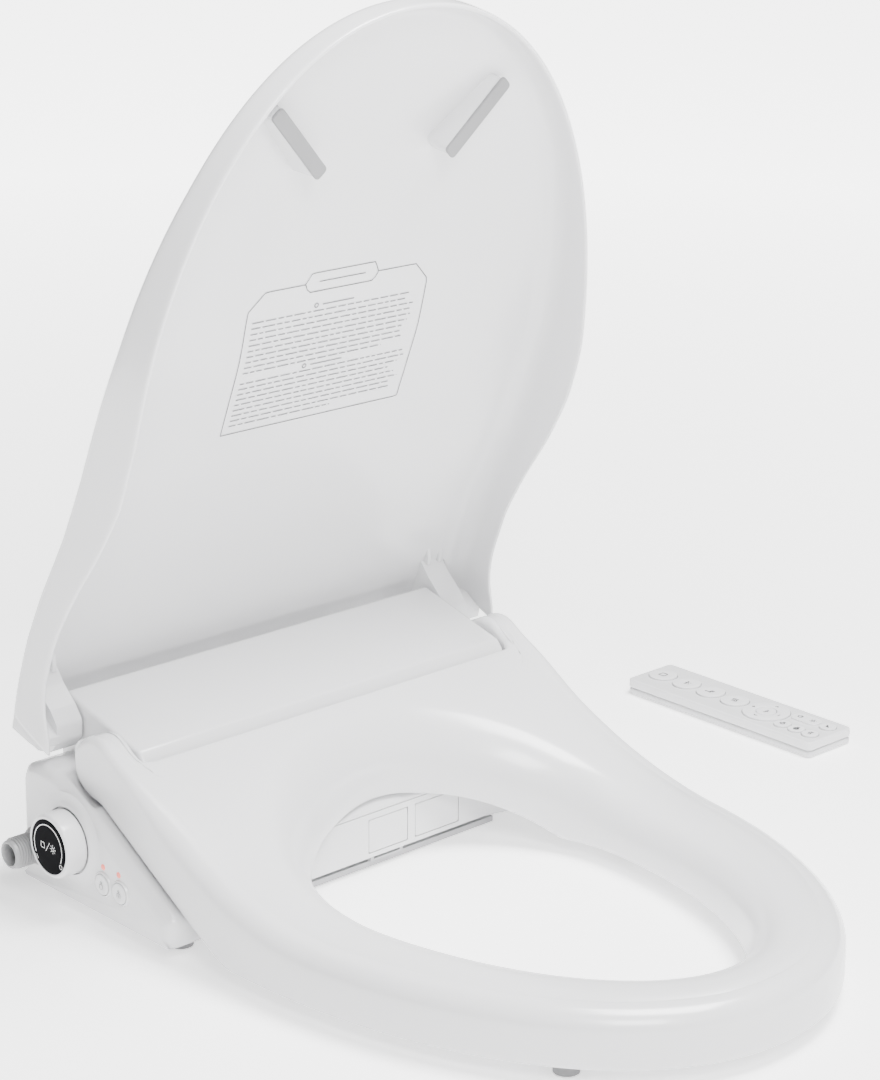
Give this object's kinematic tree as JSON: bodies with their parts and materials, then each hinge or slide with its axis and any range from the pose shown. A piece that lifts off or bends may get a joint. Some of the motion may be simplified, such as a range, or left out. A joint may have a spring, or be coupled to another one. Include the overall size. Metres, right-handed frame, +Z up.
{
  "type": "electric bidet seat",
  "caption": "Electric bidet seat with a hinged seat and lid, a side knob, a threaded water inlet, a sliding spray nozzle, a warm-air dryer and a hand-held remote.",
  "frame": {"origin": "midway between the two bowl bolts, on the plane that the seat rests on", "axes": "+Z up, the front of the seat faces -Y, the knob and the water inlet are on the -X side"},
  "size_m": [0.614, 0.5114, 0.5722],
  "materials": {
    "white_shell": "satin white moulded ABS",
    "white_trim": "satin white moulded plastic",
    "grey_pad": "soft grey rubber",
    "black_face": "glossy black",
    "light_grey": "light grey moulded plastic",
    "dark_grey": "dark grey moulded plastic",
    "steel": "brushed steel",
    "board": "green circuit board",
    "lamp": "red indicator lens",
    "hose": "translucent white silicone"
  },
  "bodies": {
    "mount": {"mounting_plate": "light_grey"},
    "base": {"bottom_tray": "white_trim", "top_casing": "white_shell", "side_panel_left": "white_shell", "side_panel_right": "white_shell", "front_panel": "white_shell", "base_feet": "grey_pad", "drain_spout": "light_grey", "cord_gland": "dark_grey", "hinge_pins": "steel", "water_inlet": "light_grey", "solenoid_valve": "dark_grey", "instant_heater": "light_grey", "water_pump": "dark_grey", "water_hoses": "hose", "nozzle_guide": "light_grey", "nozzle_motor": "dark_grey", "dryer_duct": "light_grey", "dryer_heater": "steel", "blower_housing": "dark_grey", "blower_motor": "steel", "control_board": "board", "power_supply": "dark_grey", "hinge_dampers": "steel", "status_leds": "lamp"},
    "seat": {"seat_top_shell": "white_shell", "seat_bottom_cover": "white_trim", "seat_heater": "steel", "seat_bumpers": "grey_pad"},
    "lid": {"lid_shell": "white_shell", "lid_hinge_arm_left": "white_shell", "lid_hinge_arm_right": "white_shell", "lid_pads": "grey_pad"},
    "knob_carrier": {"knob_spindle": "white_trim"},
    "knob": {"knob_body": "white_shell", "knob_face": "black_face"},
    "front_button": {"side_button_front": "white_shell"},
    "rear_button": {"side_button_rear": "white_shell"},
    "nozzle": {"nozzle_tube": "steel", "nozzle_tip": "white_trim"},
    "nozzle_cover": {"nozzle_door": "white_shell"},
    "dryer_cover": {"dryer_flap": "white_shell"},
    "impeller": {"blower_impeller": "dark_grey"},
    "release": {"release_button": "white_trim"},
    "remote": {"remote_case_front": "white_shell", "remote_case_back": "white_shell", "remote_battery_door": "white_shell", "remote_battery": "steel", "remote_board": "board"},
    "remote_key_1": {"remote_key_1": "white_shell"},
    "remote_key_2": {"remote_key_2": "white_shell"},
    "remote_key_3": {"remote_key_3": "white_shell"},
    "remote_key_4": {"remote_key_4": "white_shell"},
    "remote_key_5": {"remote_key_5": "white_shell"},
    "remote_key_6": {"remote_key_6": "white_shell"},
    "remote_key_7": {"remote_key_7": "white_shell"},
    "remote_key_8": {"remote_key_8": "white_shell"},
    "remote_select_key": {"remote_select_key": "white_shell"},
    "remote_dial_ring": {"remote_dial_ring": "white_shell"},
    "remote_pill_key": {"remote_pill_key": "white_shell"}
  },
  "joints": [
    {"name": "base_slide", "type": "slide", "parent": "mount", "child": "base", "axis": [0, -1, 0], "range_m": [0, 0.05]},
    {"name": "seat_hinge", "type": "hinge", "parent": "base", "child": "seat", "pos_m": [0, -0.028, 0.099], "axis": [-1, 0, 0], "range_deg": [0, 84]},
    {"name": "lid_hinge", "type": "hinge", "parent": "base", "child": "lid", "pos_m": [0, 0.028, 0.11], "axis": [-1, 0, 0], "range_deg": [-78.9, 25]},
    {"name": "knob_push", "type": "slide", "parent": "base", "child": "knob_carrier", "axis": [1, 0, 0], "range_m": [0, 0.002], "stiffness_N_per_m": 400, "springref_m": -0.001},
    {"name": "knob_turn", "type": "hinge", "parent": "knob_carrier", "child": "knob", "pos_m": [-0.198, -0.016, 0.051], "axis": [-1, 0, 0], "range_deg": [-40, 40], "stiffness_Nm_per_rad": 0.05},
    {"name": "front_button_push", "type": "slide", "parent": "base", "child": "front_button", "axis": [1, 0, 0], "range_m": [0, 0.0012], "stiffness_N_per_m": 200, "springref_m": -0.0005},
    {"name": "rear_button_push", "type": "slide", "parent": "base", "child": "rear_button", "axis": [1, 0, 0], "range_m": [0, 0.0012], "stiffness_N_per_m": 200, "springref_m": -0.0005},
    {"name": "nozzle_slide", "type": "slide", "parent": "base", "child": "nozzle", "axis": [0, -0.9703, -0.2419], "range_m": [0, 0.07]},
    {"name": "nozzle_door_hinge", "type": "hinge", "parent": "base", "child": "nozzle_cover", "pos_m": [0.01, -0.0918, 0.0342], "axis": [-1, 0, 0], "range_deg": [0, 105]},
    {"name": "dryer_flap_hinge", "type": "hinge", "parent": "base", "child": "dryer_cover", "pos_m": [0.0535, -0.0918, 0.0342], "axis": [-1, 0, 0], "range_deg": [0, 70], "stiffness_Nm_per_rad": 0.002, "springref_deg": -17.19},
    {"name": "impeller_spin", "type": "hinge", "parent": "base", "child": "impeller", "pos_m": [0.088, 0, 0.026], "axis": [0, 0, 1], "continuous": true},
    {"name": "release_push", "type": "slide", "parent": "base", "child": "release", "axis": [-1, 0, 0], "range_m": [0, 0.003], "stiffness_N_per_m": 300, "springref_m": -0.001},
    {"name": "remote_lift", "type": "slide", "parent": "mount", "child": "remote", "axis": [0, 0, 1], "range_m": [0, 0.2]},
    {"name": "remote_key_1_push", "type": "slide", "parent": "remote", "child": "remote_key_1", "axis": [0, 0, -1], "range_m": [0, 0.0008], "stiffness_N_per_m": 150, "springref_m": -0.0006},
    {"name": "remote_key_2_push", "type": "slide", "parent": "remote", "child": "remote_key_2", "axis": [0, 0, -1], "range_m": [0, 0.0008], "stiffness_N_per_m": 150, "springref_m": -0.0006},
    {"name": "remote_key_3_push", "type": "slide", "parent": "remote", "child": "remote_key_3", "axis": [0, 0, -1], "range_m": [0, 0.0008], "stiffness_N_per_m": 150, "springref_m": -0.0006},
    {"name": "remote_key_4_push", "type": "slide", "parent": "remote", "child": "remote_key_4", "axis": [0, 0, -1], "range_m": [0, 0.0008], "stiffness_N_per_m": 150, "springref_m": -0.0006},
    {"name": "remote_key_5_push", "type": "slide", "parent": "remote", "child": "remote_key_5", "axis": [0, 0, -1], "range_m": [0, 0.0008], "stiffness_N_per_m": 150, "springref_m": -0.0006},
    {"name": "remote_key_6_push", "type": "slide", "parent": "remote", "child": "remote_key_6", "axis": [0, 0, -1], "range_m": [0, 0.0008], "stiffness_N_per_m": 150, "springref_m": -0.0006},
    {"name": "remote_key_7_push", "type": "slide", "parent": "remote", "child": "remote_key_7", "axis": [0, 0, -1], "range_m": [0, 0.0008], "stiffness_N_per_m": 150, "springref_m": -0.0006},
    {"name": "remote_key_8_push", "type": "slide", "parent": "remote", "child": "remote_key_8", "axis": [0, 0, -1], "range_m": [0, 0.0008], "stiffness_N_per_m": 150, "springref_m": -0.0006},
    {"name": "remote_select_key_push", "type": "slide", "parent": "remote", "child": "remote_select_key", "axis": [0, 0, -1], "range_m": [0, 0.0008], "stiffness_N_per_m": 150, "springref_m": -0.0006},
    {"name": "remote_dial_ring_push", "type": "slide", "parent": "remote", "child": "remote_dial_ring", "axis": [0, 0, -1], "range_m": [0, 0.0008], "stiffness_N_per_m": 150, "springref_m": -0.0006},
    {"name": "remote_pill_key_push", "type": "slide", "parent": "remote", "child": "remote_pill_key", "axis": [0, 0, -1], "range_m": [0, 0.0008], "stiffness_N_per_m": 150, "springref_m": -0.0006}
  ],
  "couplings": [
    {"joint": "nozzle_door_hinge", "follows": "nozzle_slide", "rad_per_m": 26}
  ]
}
